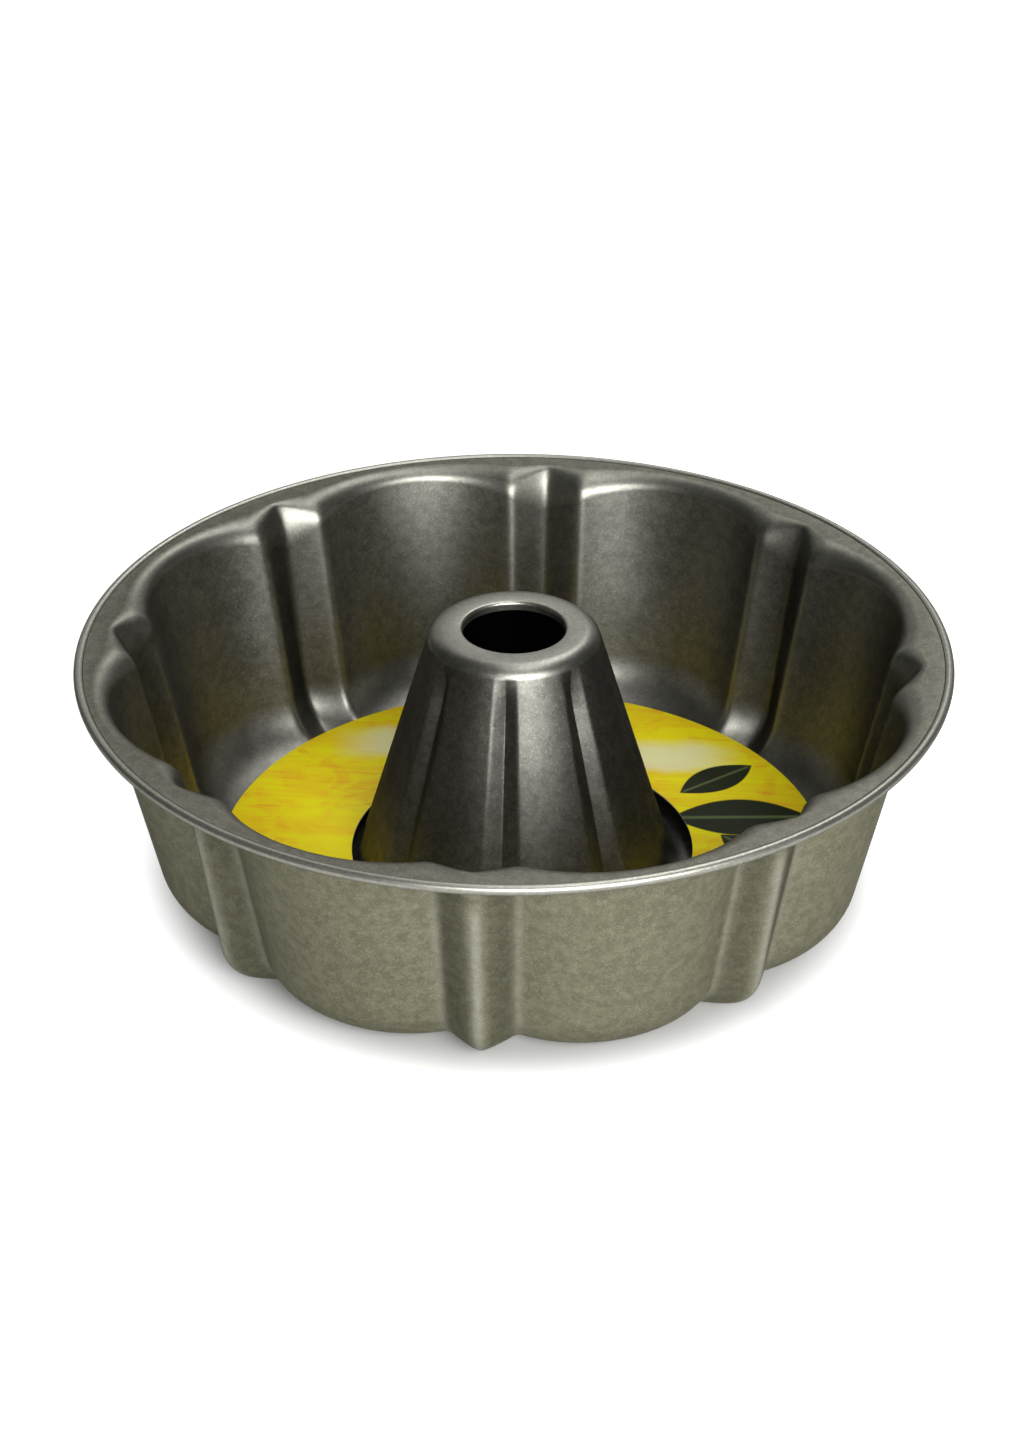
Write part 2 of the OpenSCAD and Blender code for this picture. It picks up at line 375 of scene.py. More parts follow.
class SharedEffects:
    """The effects that more than one finish uses, each as a node group."""

    def __init__(self) -> None:
        """Build every group."""
        self.fleck = self._fleck()
        self.cloud = self._cloud()
        self.leaf = self._leaf()

    @staticmethod
    def _fleck() -> Group:
        """Return the group for fine flecks: a value for each fleck, and the bright ones alone."""
        group = Group("fine_flecks", {"Size": 0.0004, "Share": 0.2}, ("Shade", "Spark"))
        graph = group.graph
        cells = graph.node("TexVoronoi", feature="F1")
        graph.feed(cells.inputs["Vector"], group.value("Vector"))
        graph.feed(cells.inputs["Scale"], graph.math("DIVIDE", 1.0, group.value("Size")))
        split = graph.node("SeparateColor")
        graph.feed(split.inputs[0], cells.outputs["Color"])
        group.give("Shade", split.outputs[0])
        edge = graph.math("SUBTRACT", 1.0, group.value("Share"))
        group.give("Spark", graph.math("GREATER_THAN", split.outputs[1], edge))
        return group

    @staticmethod
    def _cloud() -> Group:
        """Return the group for soft clouds: wide ones, and the smears inside them."""
        group = Group("soft_clouds", {"Size": 0.02}, ("Wide", "Smear"))
        graph = group.graph
        place = group.value("Vector")
        scale = graph.math("DIVIDE", 1.0, group.value("Size"))
        group.give("Wide", graph.spread(graph.noise(place, scale, 3.0), 0.35, 0.65))
        smear = graph.noise(place, graph.math("MULTIPLY", scale, 3.0), 5.0, distortion=1.2)
        group.give("Smear", graph.spread(smear, 0.4, 0.7))
        return group

    @staticmethod
    def _leaf() -> Group:
        """Return the group for one pointed leaf along X: its shape, and its middle vein."""
        group = Group("pointed_leaf", {"Length": 0.02, "Width": 0.006}, ("Shape", "Vein"))
        graph = group.graph
        split = graph.node("SeparateXYZ")
        graph.feed(split.inputs[0], group.value("Vector"))
        along = graph.math("DIVIDE", split.outputs[0], group.value("Length"))
        across = graph.math("ABSOLUTE", graph.math("DIVIDE", split.outputs[1],
                                                   group.value("Width")))
        bow = graph.math("SUBTRACT", 1.0, graph.math("MULTIPLY", along, along))
        inside = graph.math("SUBTRACT", bow, across)
        group.give("Shape", graph.spread(inside, -0.03, 0.05))
        vein = graph.math("MULTIPLY", graph.spread(across, 0.12, 0.03),
                          graph.spread(inside, 0.05, 0.25))
        group.give("Vein", vein)
        return group


# Finishes


@dataclass(frozen=True)
class NonStickCoat:
    """Speckled non-stick coat on drawn steel: dark and smooth inside, olive and duller outside,
    with painted shade and painted highlights.
    """

    name: str = "nonstick_coat"
    dark: tuple[float, float, float] = (0.140, 0.137, 0.121)
    light: tuple[float, float, float] = (0.252, 0.245, 0.217)
    # pale colour for bright flecks, real wear and painted highlights
    fleck_wear_and_highlight: tuple[float, float, float] = (0.62, 0.61, 0.54)
    outer_dark: tuple[float, float, float] = (0.161, 0.154, 0.102)
    outer_light: tuple[float, float, float] = (0.306, 0.296, 0.200)
    # near-black colour for painted shade in the Vs, beside the bead and inside the tube
    painted_shade_colour: tuple[float, float, float] = (0.004, 0.004, 0.004)
    edge_tint: tuple[float, float, float] = (0.25, 0.25, 0.25)
    roughness: float = 0.39
    outer_roughness: float = 0.46
    outer_metal: float = 0.65
    fleck_size: float = 0.45 * MM
    mottle_size: float = 3.0 * MM
    cloud_size: float = 50.0 * MM
    fleck_part: float = 0.4
    mottle_part: float = 0.35
    cloud_part: float = 0.12
    spark_share: float = 0.12
    spark_part: float = 0.13
    wear_and_highlight_part: float = 0.8
    grain_h: float = 0.05 * MM
    ripple_h: float = 0.4 * MM
    ripples: float = 28.0

    def build(self, effects: SharedEffects) -> bpy.types.Material:
        """Make the material.

        Args:
            effects: the shared node groups.

        Returns:
            The finished material.
        """
        material, graph, shader = new_material(self.name)
        place = graph.node("TexCoord").outputs["Object"]
        fleck = effects.fleck.place(graph, place, Size=self.fleck_size, Share=self.spark_share)
        mottle = effects.cloud.place(graph, place, Size=self.mottle_size)
        cloud = effects.cloud.place(graph, place, Size=self.cloud_size)
        # mask of painted highlights on the bead, folds, feet and tube edges, and of real wear on
        # the base ring
        wear_and_highlight_mask = graph.node("Attribute", attribute_name="wear_and_highlight").outputs["Fac"]
        # mask of painted shade: the Vs, beside the bead, the feet and inside the tube
        painted_shade_mask = graph.node("Attribute", attribute_name="painted_shade").outputs["Fac"]
        outer = graph.node("Attribute", attribute_name="outer").outputs["Fac"]

        shade = graph.math("MULTIPLY_ADD", fleck.outputs["Shade"], self.fleck_part,
                           graph.math("MULTIPLY", mottle.outputs["Wide"], self.mottle_part))
        shade = graph.math("MULTIPLY_ADD", cloud.outputs["Wide"], self.cloud_part, shade)
        coat = graph.blend(outer, graph.blend(shade, (*self.dark, 1), (*self.light, 1)),
                           graph.blend(shade, (*self.outer_dark, 1), (*self.outer_light, 1)))
        coat = graph.blend(graph.math("MULTIPLY", fleck.outputs["Spark"], self.spark_part), coat,
                           (*self.fleck_wear_and_highlight, 1))
        # painted highlight: pale colour mixed into the coat where the mask is, with real wear on
        # the base ring
        wear_and_highlight_share = graph.math("MULTIPLY", wear_and_highlight_mask,
                         graph.spread(mottle.outputs["Smear"], 0.0, 1.0, 0.7, 1.0))
        coat = graph.blend(graph.math("MULTIPLY", wear_and_highlight_share, self.wear_and_highlight_part), coat, (*self.fleck_wear_and_highlight, 1))
        # painted shade: near-black mixed into the coat where the mask is
        coat = graph.blend(painted_shade_mask, coat, (*self.painted_shade_colour, 1))
        graph.feed(shader.inputs["Base Color"], coat)
        shader.inputs["Specular Tint"].default_value = (*self.edge_tint, 1)

        rough = graph.spread(outer, 0.0, 1.0, self.roughness, self.outer_roughness)
        rough = graph.math("MULTIPLY_ADD", cloud.outputs["Smear"], 0.04, rough)
        rough = graph.math("MULTIPLY_ADD", fleck.outputs["Shade"], 0.06, rough)
        rough = graph.math("MULTIPLY_ADD", painted_shade_mask, 0.05, rough)
        rough = graph.math("SUBTRACT", rough, graph.math("MULTIPLY", wear_and_highlight_share, 0.12))
        graph.feed(shader.inputs["Roughness"], rough)
        bare = graph.math("SUBTRACT", outer, painted_shade_mask)
        graph.feed(shader.inputs["Metallic"],
                   graph.spread(bare, 0.0, 1.0, 1.0, self.outer_metal))

        grain = graph.bump(fleck.outputs["Shade"], 0.12, self.grain_h)
        ripple = graph.noise(place, self.ripples, 1.0)
        graph.feed(shader.inputs["Normal"], graph.bump(ripple, 0.15, self.ripple_h, grain))
        return material


@dataclass(frozen=True)
class Leaf:
    """One printed leaf: its middle, its turn, and half of its length and width."""

    x: float
    y: float
    turn: float
    length: float
    width: float


@dataclass(frozen=True)
class PrintedCard:
    """Coated card printed in yellow and orange strokes, with plain leaves and a bare band."""

    name: str = "card_print"
    yellow: tuple[float, float, float] = (0.93, 0.82, 0.005)
    gold: tuple[float, float, float] = (0.91, 0.60, 0.008)
    orange: tuple[float, float, float] = (0.88, 0.36, 0.015)
    cream: tuple[float, float, float] = (0.86, 0.86, 0.55)
    leaf: tuple[float, float, float] = (0.014, 0.020, 0.005)
    vein: tuple[float, float, float] = (0.12, 0.17, 0.06)
    glow_size: float = 35.0 * MM
    stroke_scale: tuple[float, float, float] = (14.0, 120.0, 1.0)
    hair_scale: tuple[float, float, float] = (45.0, 520.0, 1.0)
    band_low: tuple[float, float] = (54.0 * MM, 60.0 * MM)
    band_high: tuple[float, float] = (76.0 * MM, 68.0 * MM)
    band_side: tuple[float, float] = (66.0 * MM, 46.0 * MM)
    band_wave: float = 24.0 * MM
    fibre_h: float = 0.05 * MM
    leaves: tuple[Leaf, ...] = (
        Leaf(64.0 * MM, 21.0 * MM, 6.0, 21.0 * MM, 10.0 * MM),
        Leaf(71.0 * MM, 1.0 * MM, -38.0, 16.0 * MM, 7.5 * MM),
        Leaf(56.0 * MM, 42.0 * MM, 40.0, 14.0 * MM, 6.5 * MM),
        Leaf(-58.9 * MM, -34.0 * MM, -38.0, 14.0 * MM, 6.0 * MM),
        Leaf(-39.0 * MM, -55.7 * MM, -57.0, 15.0 * MM, 7.0 * MM),
        Leaf(-11.8 * MM, -67.0 * MM, 12.0, 15.0 * MM, 7.0 * MM),
        Leaf(17.6 * MM, -65.7 * MM, -7.0, 15.0 * MM, 7.0 * MM),
        Leaf(43.7 * MM, -52.1 * MM, 62.0, 15.0 * MM, 7.0 * MM),
    )

    def build(self, effects: SharedEffects, centre: Sequence[float]) -> bpy.types.Material:
        """Make the material.

        Args:
            effects: the shared node groups.
            centre: the middle of the card, in metres.

        Returns:
            The finished material.
        """
        material, graph, shader = new_material(self.name)
        raw = graph.node("TexCoord").outputs["Object"]
        place = graph.mapped(raw, centre)
        cloud = effects.cloud.place(graph, place, Size=self.glow_size)

        strokes = graph.mapped(place, turn=6.0, scale=self.stroke_scale)
        stroke = graph.spread(graph.noise(strokes, 1.0, 4.0, 0.6), 0.42, 0.62)
        ink = graph.blend(graph.math("MULTIPLY", stroke, 0.6), (*self.yellow, 1), (*self.gold, 1))
        glow = graph.math("MULTIPLY", cloud.outputs["Wide"], cloud.outputs["Smear"])
        ink = graph.blend(graph.math("MULTIPLY", glow, 0.45), ink, (*self.orange, 1))
        hairs = graph.mapped(place, turn=-14.0, scale=self.hair_scale)
        hair = graph.spread(graph.noise(hairs, 1.0, 3.0, 0.6), 0.52, 0.72)
        hair = graph.math("MULTIPLY", hair,
                          graph.spread(cloud.outputs["Smear"], 0.0, 1.0, 0.2, 1.0))
        ink = graph.blend(graph.math("MULTIPLY", hair, 0.75), ink, (*self.orange, 1))

        split = graph.node("SeparateXYZ")
        graph.feed(split.inputs[0], place)
        wavy = graph.math("MULTIPLY_ADD", graph.noise(place, 25.0, 3.0), self.band_wave,
                          split.outputs[1])
        band = graph.math("MULTIPLY", graph.spread(wavy, *self.band_low),
                          graph.spread(wavy, *self.band_high))
        near = graph.spread(graph.math("ABSOLUTE", split.outputs[0]), *self.band_side)
        band = graph.math("MULTIPLY", graph.math("MULTIPLY", band, near), 0.75)
        ink = graph.blend(band, ink, (*self.cream, 1))

        for item in self.leaves:
            spot = graph.mapped(place, (item.x, item.y, 0.0), item.turn)
            drawn = effects.leaf.place(graph, spot, Length=item.length, Width=item.width)
            ink = graph.blend(drawn.outputs["Shape"], ink, (*self.leaf, 1))
            ink = graph.blend(graph.math("MULTIPLY", drawn.outputs["Vein"], 0.8), ink,
                              (*self.vein, 1))
        graph.feed(shader.inputs["Base Color"], ink)
        rough = graph.math("MULTIPLY_ADD", graph.noise(place, 220.0, 2.0), 0.12, 0.44)
        graph.feed(shader.inputs["Roughness"], rough)
        shader.inputs["Specular IOR Level"].default_value = 0.2
        fibre = graph.noise(place, 900.0, 3.0)
        graph.feed(shader.inputs["Normal"], graph.bump(fibre, 0.15, self.fibre_h))
        return material


@dataclass(frozen=True)
class RawBoard:
    """The card's unprinted back and cut edges: pale grey board with short fibres."""

    name: str = "card_board"
    pale: tuple[float, float, float] = (0.62, 0.60, 0.54)
    fibre: tuple[float, float, float] = (0.42, 0.39, 0.33)
    cloud_size: float = 10.0 * MM
    strand_scale: tuple[float, float, float] = (300.0, 1500.0, 300.0)
    strand_h: float = 0.05 * MM

    def build(self, effects: SharedEffects) -> bpy.types.Material:
        """Make the material.

        Args:
            effects: the shared node groups.

        Returns:
            The finished material.
        """
        material, graph, shader = new_material(self.name)
        place = graph.node("TexCoord").outputs["Object"]
        cloud = effects.cloud.place(graph, place, Size=self.cloud_size)
        strands = graph.spread(
            graph.noise(graph.mapped(place, turn=20.0, scale=self.strand_scale), 1.0, 3.0),
            0.5, 0.7)
        shade = graph.math("MULTIPLY_ADD", cloud.outputs["Wide"], 0.25,
                           graph.math("MULTIPLY", strands, 0.5))
        graph.feed(shader.inputs["Base Color"],
                   graph.blend(shade, (*self.pale, 1), (*self.fibre, 1)))
        graph.feed(shader.inputs["Roughness"],
                   graph.math("MULTIPLY_ADD", strands, 0.1, 0.78))
        graph.feed(shader.inputs["Normal"], graph.bump(strands, 0.3, self.strand_h))
        return material


# The drawn sheet


@dataclass(frozen=True)
class WallLine:
    """One line down the wall: its radius at the bead's height, its lean and its bends."""

    radius: float
    lean: float
    foot_r: float
    shoulder_r: float
    edge_r: float

    def shoulder_a(self, share: float) -> float:
        """Return the angle on the shoulder, whose edge takes the first half of the share.

        Args:
            share: how far along the shoulder.

        Returns:
            The angle in degrees.
        """
        edge_turn = 0.7
        turn = 2 * share * edge_turn if share < 0.5 else 1 - 2 * (1 - share) * (1 - edge_turn)
        return 90.0 + (90.0 - self.lean) * turn


@dataclass
class DrawnPan:
    """The pan: one sheet with a rolled rim, a lobed and ribbed wall, a floor and a tube."""

    sheet_t: float = 0.6 * MM
    rim_r: float = 125.0 * MM
    rim_h: float = 74.6 * MM
    bead_r: float = 1.4 * MM
    curl_from_a: float = 186.0
    flange_up: float = 0.8 * MM
    neck_r: float = 1.0 * MM
    lobes: int = 8
    lobe_power: float = 2.1
    rib_half_a: float = 5.9
    groove_half_a: float = 7.6
    fold_a: float = 0.9
    tube_h: float = 80.0 * MM
    tube_top_r: float = 23.9 * MM
    tube_lean: float = 16.7
    tube_corner_r: float = 5.0 * MM
    tube_foot_r: float = 5.0 * MM
    groove_d: float = 2.3 * MM
    groove_run_h: float = 7.0 * MM
    hole_r: float = 14.75 * MM
    lip_bend_r: float = 0.35 * MM
    lip_h: float = 2.6 * MM
    round_n: int = 48
    # widths of the painted highlights along the creases and the rib tips
    crease_wear_highlight_a: float = 0.8
    tip_wear_highlight_a: float = 0.9
    floor_wear: float = 0.45
    floor_wear_h: float = 1.5 * MM
    lobe: WallLine = WallLine(117.6 * MM, 12.1, 20.3 * MM, 4.2 * MM, 4.2 * MM)
    rib: WallLine = WallLine(113.6 * MM, 8.7, 17.2 * MM, 30.0 * MM, 1.8 * MM)
    crease: WallLine = WallLine(109.4 * MM, 11.3, 19.2 * MM, 8.6 * MM, 8.6 * MM)

    def __post_init__(self) -> None:
        """Work out the places that follow from the sizes."""
        self.bead_z = self.rim_h - self.bead_r
        self.bead_c_r = self.rim_r - self.bead_r
        self.flange_z = self.bead_z + self.flange_up - self.sheet_t
        self.half_a = 180.0 / self.lobes
        self.steps = {
            Zone.CURL: 26, Zone.NECK: 5, Zone.SHOULDER: 12, Zone.WALL: 8, Zone.FOOT: 14,
            Zone.FLOOR: 5, Zone.TUBE_FOOT: 7, Zone.TUBE_SIDE: 12, Zone.TUBE_CORNER: 7,
            Zone.LIP_BEND: 6, Zone.LIP: 3,
        }

    # The sections of the sheet, as [radius, height] on its lower skin.

    @staticmethod
    def _on_bend(centre: tuple[float, float], r: float, angle: float) -> tuple[float, float]:
        """Return a point on a bend.

        Args:
            centre: the bend's centre.
            r: its radius.
            angle: where on the bend, in degrees.

        Returns:
            The point's radius and height.
        """
        a = math.radians(angle)
        return centre[0] + r * math.cos(a), centre[1] + r * math.sin(a)

    def _shoulder_c(self, line: WallLine) -> tuple[float, float]:
        """Return the centre of the shoulder's lower part, which runs on into the wall line."""
        more_r = line.shoulder_r - line.edge_r
        z = self.flange_z - line.edge_r - more_r * math.sin(math.radians(line.shoulder_a(0.5)))
        lean = math.radians(line.lean)
        run = (z - self.bead_z) * math.sin(lean) + line.shoulder_r
        return line.radius + run / math.cos(lean), z

    def _foot_c(self, line: WallLine) -> tuple[float, float]:
        """Return the centre of the bend between a wall line and the floor."""
        lean = math.radians(line.lean)
        run = (line.foot_r - self.bead_z) * math.sin(lean) - line.foot_r
        return line.radius + run / math.cos(lean), line.foot_r

    def _wall_point(self, line: WallLine, zone: Zone, share: float) -> tuple[float, float]:
        """Return a point down one wall line.

        Args:
            line: the wall line.
            zone: the stretch of the sheet.
            share: how far along that stretch.

        Returns:
            The point's radius and height.
        """
        bead = (self.bead_c_r, self.bead_z)
        inner_r = self.bead_r - self.sheet_t
        rise = self.flange_z - self.bead_z + self.neck_r
        reach = math.sqrt((self.neck_r + inner_r) ** 2 - rise ** 2)
        neck = (self.bead_c_r - reach, self.bead_z + rise)
        meet = math.degrees(math.atan2(rise, -reach))
        if zone is Zone.CURL:
            turn = meet + 360.0 - self.curl_from_a
            return self._on_bend(bead, inner_r, self.curl_from_a + turn * share)
        if zone is Zone.NECK:
            low = meet - 180.0
            return self._on_bend(neck, self.neck_r, low + (-90.0 - low) * share)
        if zone is Zone.SHOULDER:
            centre = self._shoulder_c(line)
            if share >= 0.5:
                return self._on_bend(centre, line.shoulder_r, line.shoulder_a(share))
            edge = self._on_bend(centre, line.shoulder_r - line.edge_r, line.shoulder_a(0.5))
            return self._on_bend(edge, line.edge_r, line.shoulder_a(share))
        top = self._on_bend(self._shoulder_c(line), line.shoulder_r, 180.0 - line.lean)
        low = self._on_bend(self._foot_c(line), line.foot_r, -line.lean)
        if zone is Zone.WALL:
            return (top[0] + (low[0] - top[0]) * share, top[1] + (low[1] - top[1]) * share)
        return self._on_bend(self._foot_c(line), line.foot_r,
                             -line.lean - (90.0 - line.lean) * share)

    def _tube_point(self, zone: Zone, share: float) -> tuple[float, float]:
        """Return a point up the tube, before its grooves.

        Args:
            zone: the stretch of the sheet.
            share: how far along that stretch.

        Returns:
            The point's radius and height.
        """
        lean = math.radians(self.tube_lean)
        foot_z = self.sheet_t + self.tube_foot_r
        foot = (self.tube_top_r + (self.tube_foot_r + (self.tube_h - foot_z) * math.sin(lean))
                / math.cos(lean), foot_z)
        corner = (self.tube_top_r + self.tube_corner_r * (math.sin(lean) - 1) / math.cos(lean),
                  self.tube_h - self.tube_corner_r)
        foot_r = self.tube_foot_r + self.sheet_t
        corner_r = self.tube_corner_r - self.sheet_t
        lip = (self.hole_r + self.sheet_t + self.lip_bend_r,
               self.tube_h - self.sheet_t - self.lip_bend_r)
        if zone is Zone.TUBE_FOOT:
            return self._on_bend(foot, foot_r, 270.0 - (90.0 - self.tube_lean) * share)
        low = self._on_bend(foot, foot_r, 180.0 + self.tube_lean)
        high = self._on_bend(corner, corner_r, self.tube_lean)
        if zone is Zone.TUBE_SIDE:
            return (low[0] + (high[0] - low[0]) * share, low[1] + (high[1] - low[1]) * share)
        if zone is Zone.TUBE_CORNER:
            return self._on_bend(corner, corner_r,
                                 self.tube_lean + (90.0 - self.tube_lean) * share)
        if zone is Zone.LIP_BEND:
            return self._on_bend(lip, self.lip_bend_r, 90.0 + 90.0 * share)
        wall = self.lip_h - self.sheet_t - self.lip_bend_r
        return lip[0] - self.lip_bend_r, lip[1] - wall * share

    def stations(self) -> list[tuple[Zone, float]]:
        """Return the stations down the sheet, each a stretch and how far along it."""
        made: list[tuple[Zone, float]] = []
        for zone, count in self.steps.items():
            first = 0 if zone in (Zone.CURL, Zone.SHOULDER, Zone.TUBE_FOOT, Zone.LIP_BEND) else 1
            last = count - 1 if zone is Zone.FLOOR else count
            made += [(zone, k / count) for k in range(first, last + 1)]
        return made

    # The pressed form round the axis.

    def _from_rib(self, angle: float) -> float:
        """Return the angle from the nearest rib."""
        return abs(angle - 2 * self.half_a * round(angle / (2 * self.half_a)))

    def _v_share(self, angle: float, v_half_a: float) -> float:
        """Return 1 at the tip of a V and 0 from its creases on.

        Args:
            angle: the angle round the axis.
            v_half_a: half of the V's own angle.

        Returns:
            The share of the V.
        """
        def tip(x: float) -> float:
            """Round off the V's tip."""
            return math.hypot(x, self.fold_a) - self.fold_a

        full = tip(v_half_a)
        return ramp(full - tip(self._from_rib(angle)), self.fold_a) / full

    def _lobe_share(self, angle: float) -> float:
        """Return 0 up to the crease and 1 in the middle of a lobe."""
        past = ramp(self._from_rib(angle) - self.rib_half_a, self.fold_a)
        past /= self.half_a - self.rib_half_a
        return 1 - max(0.0, 1 - past) ** self.lobe_power

    def _groove_at(self, z: float) -> float:
        """Return the depth of the tube's grooves at a height."""
        top = self.tube_h - self.tube_corner_r
        low = min(1.0, max(0.0, z / self.groove_run_h))
        high = min(1.0, max(0.0, (top - z) / self.groove_run_h))
        return self.groove_d * low * (2 - low) * high * (2 - high)

    def point(self, zone: Zone, share: float, angle: float) -> Vector:
        """Return a point on the sheet's lower skin.

        Args:
            zone: the stretch of the sheet.
            share: how far along that stretch.
            angle: the angle from the rib on -Y, in degrees.

        Returns:
            The point in metres.
        """
        if zone is Zone.FLOOR:
            a = self.point(Zone.FOOT, 1.0, angle)
            b = self.point(Zone.TUBE_FOOT, 0.0, angle)
            return a.lerp(b, share)
        if zone in WALL_ZONES:
            v = self._v_share(angle, self.rib_half_a)
            bulge = self._lobe_share(angle)
            parts = ((v, self.rib), (bulge, self.lobe), (1 - v - bulge, self.crease))
            r = sum(w * self._wall_point(line, zone, share)[0] for w, line in parts)
            z = sum(w * self._wall_point(line, zone, share)[1] for w, line in parts)
        else:
            r, z = self._tube_point(zone, share)
            if zone in TUBE_ZONES:
                r -= self._v_share(angle, self.groove_half_a) * self._groove_at(z)
        a = math.radians(angle)
        return Vector((r * math.sin(a), -r * math.cos(a), z))

    def round_angles(self, v_half_a: float) -> list[float]:
        """Return the angles of the points round one lobe, crowded towards the folds.

        Args:
            v_half_a: half of the V's own angle.

        Returns:
            The angles in degrees, from one rib's tip up to the next, which isn't included.
        """
        fine = 600
        width = 1.1
        pull = 4
        marks = [2 * self.half_a * k / fine for k in range(fine + 1)]
        total = [0.0]
        for a in marks[1:]:
            off = self._from_rib(a)
            crowd = math.exp(-(off / width) ** 2) + math.exp(-((off - v_half_a) / width) ** 2)
            total.append(total[-1] + 1 + pull * crowd)
        made = []
        for k in range(self.round_n):
            want = total[-1] * k / self.round_n
            i = min(max(1, bisect.bisect_left(total, want)), fine)
            part = (want - total[i - 1]) / (total[i] - total[i - 1])
            made.append(marks[i - 1] + (marks[i] - marks[i - 1]) * part)
        return made

    # Making the mesh.

    def _spin_blank(self, stations: Sequence[tuple[Zone, float]]) -> bpy.types.Object:
        """Spin the round blank of the sheet from its section at a rib's tip.

        Args:
            stations: the stations down the sheet.

        Returns:
            The blank, with each point's station in the attribute station.
        """
        deselect_all()
        bpy.ops.mesh.primitive_plane_add(size=MM, location=(0, 0, 0))
        blank = bpy.context.object
        blank.name = "pan_shell"
        bpy.ops.object.mode_set(mode="EDIT")
        bpy.ops.mesh.delete(type="VERT")
        mesh = bmesh.from_edit_mesh(blank.data)
        mark = mesh.verts.layers.int.new("station")
        chain = []
        for k, (zone, share) in enumerate(stations):
            corner = mesh.verts.new(self.point(zone, share, 0.0))
            corner[mark] = k
            chain.append(corner)
        for a, b in zip(chain, chain[1:]):
            mesh.edges.new((a, b))
        bmesh.update_edit_mesh(blank.data)
        bpy.ops.mesh.select_all(action="SELECT")
        bpy.ops.mesh.spin(steps=self.lobes * self.round_n, angle=2 * math.pi,
                          center=(0, 0, 0), axis=(0, 0, 1), use_auto_merge=False)
        bpy.ops.mesh.select_all(action="SELECT")
        least_step = self.lip_bend_r * math.radians(90) / self.steps[Zone.LIP_BEND]
        bpy.ops.mesh.remove_doubles(threshold=0.4 * least_step)
        return blank

    def _press(self, blank: bpy.types.Object, stations: Sequence[tuple[Zone, float]]) -> None:
        """Press the lobes, ribs and grooves into the blank.

        Args:
            blank: the spun blank, in edit mode.
            stations: the stations down the sheet.
        """
        wall = self.round_angles(self.rib_half_a)
        tube = self.round_angles(self.groove_half_a)
        mesh = bmesh.from_edit_mesh(blank.data)
        mark = mesh.verts.layers.int["station"]
        for corner in mesh.verts:
            zone, share = stations[corner[mark]]
            turn = math.atan2(corner.co.x, -corner.co.y) % (2 * math.pi)
            step = round(turn / (2 * math.pi) * self.lobes * self.round_n)
            lobe, k = divmod(step % (self.lobes * self.round_n), self.round_n)
            blend = 0.0 if zone in WALL_ZONES else share if zone is Zone.FLOOR else 1.0
            angle = 2 * self.half_a * lobe + wall[k] * (1 - blend) + tube[k] * blend
            corner.co = self.point(zone, share, angle)
        bmesh.update_edit_mesh(blank.data)
        bpy.ops.mesh.select_all(action="SELECT")
        bpy.ops.mesh.normals_make_consistent(inside=False)
        mesh = bmesh.from_edit_mesh(blank.data)
        mark = mesh.verts.layers.int["station"]
        floor = next(face for face in mesh.faces
                     if all(stations[corner[mark]][0] is Zone.FLOOR for corner in face.verts))
        if floor.normal.z < 0:
            bpy.ops.mesh.flip_normals()

    def _wear_and_highlight_at(self, zone: Zone, share: float, off: float, lower: bool, z: float) -> float:
        """Return how bright a point is made: painted highlights on the bead, shoulders, folds,
        feet, tube corner and lip, and real wear on the base ring.

        Args:
            zone: the stretch of the sheet.
            share: how far along that stretch.
            off: the angle from the nearest rib.
            lower: whether the point is on the lower skin.
            z: the point's height.

        Returns:
            The wear and painted highlight, from 0 to 1.
        """
        crease = math.exp(-((off - self.rib_half_a) / self.crease_wear_highlight_a) ** 2)
        tip = math.exp(-(off / self.tip_wear_highlight_a) ** 2)
        middle = math.sin(math.pi * share)
        # painted highlights on the bead, shoulders, creases, rib tips, feet, tube corner and lip
        wear_and_highlight_share = {
            Zone.CURL: 0.9, Zone.NECK: 0.1, Zone.SHOULDER: 0.45 * middle,
            Zone.WALL: 0.3 * crease + (0.6 if lower else 0.1) * tip,
            Zone.FOOT: 0.3 * crease + (0.6 * tip if lower else 0.35 * middle),
            Zone.TUBE_CORNER: 0.55, Zone.LIP_BEND: 0.9, Zone.LIP: 0.3,
        }.get(zone, 0.0)
        if lower:
            if zone in TUBE_ZONES + LIP_ZONES:
                wear_and_highlight_share = 0.0
            # real wear on the base ring where the pan stands
            wear_and_highlight_share = max(wear_and_highlight_share, self.floor_wear * (1 - z / self.floor_wear_h))
        return min(1.0, wear_and_highlight_share)

    @staticmethod
    def _painted_shade_at(zone: Zone, share: float, off: float, lower: bool) -> float:
        """Return how much painted shade a point gets: most in the Vs, beside the bead and inside
        the tube.

        Args:
            zone: the stretch of the sheet.
            share: how far along that stretch.
            off: the angle from the nearest rib.
            lower: whether the point is on the lower skin.

        Returns:
            The painted shade, from 0 to 1.
        """
        # painted shade: the tube's inner skin is made nearly black
        if lower and zone in TUBE_ZONES + LIP_ZONES:
            return 1.0
        # painted shade down the Vs, beside the bead and in the feet
        if lower:
            fold_shade = 0.38 * math.exp(-((off - 3.4) / 2.3) ** 4)
        else:
            fold_shade = 0.12 + 0.36 * math.exp(-(off / 5.0) ** 4)
        return {Zone.NECK: 0.8 * math.sin(math.pi * share), Zone.TUBE_FOOT: 0.2,
                Zone.SHOULDER: fold_shade * share, Zone.WALL: fold_shade,
                Zone.FOOT: fold_shade * (1 - share)}.get(zone, 0.0)

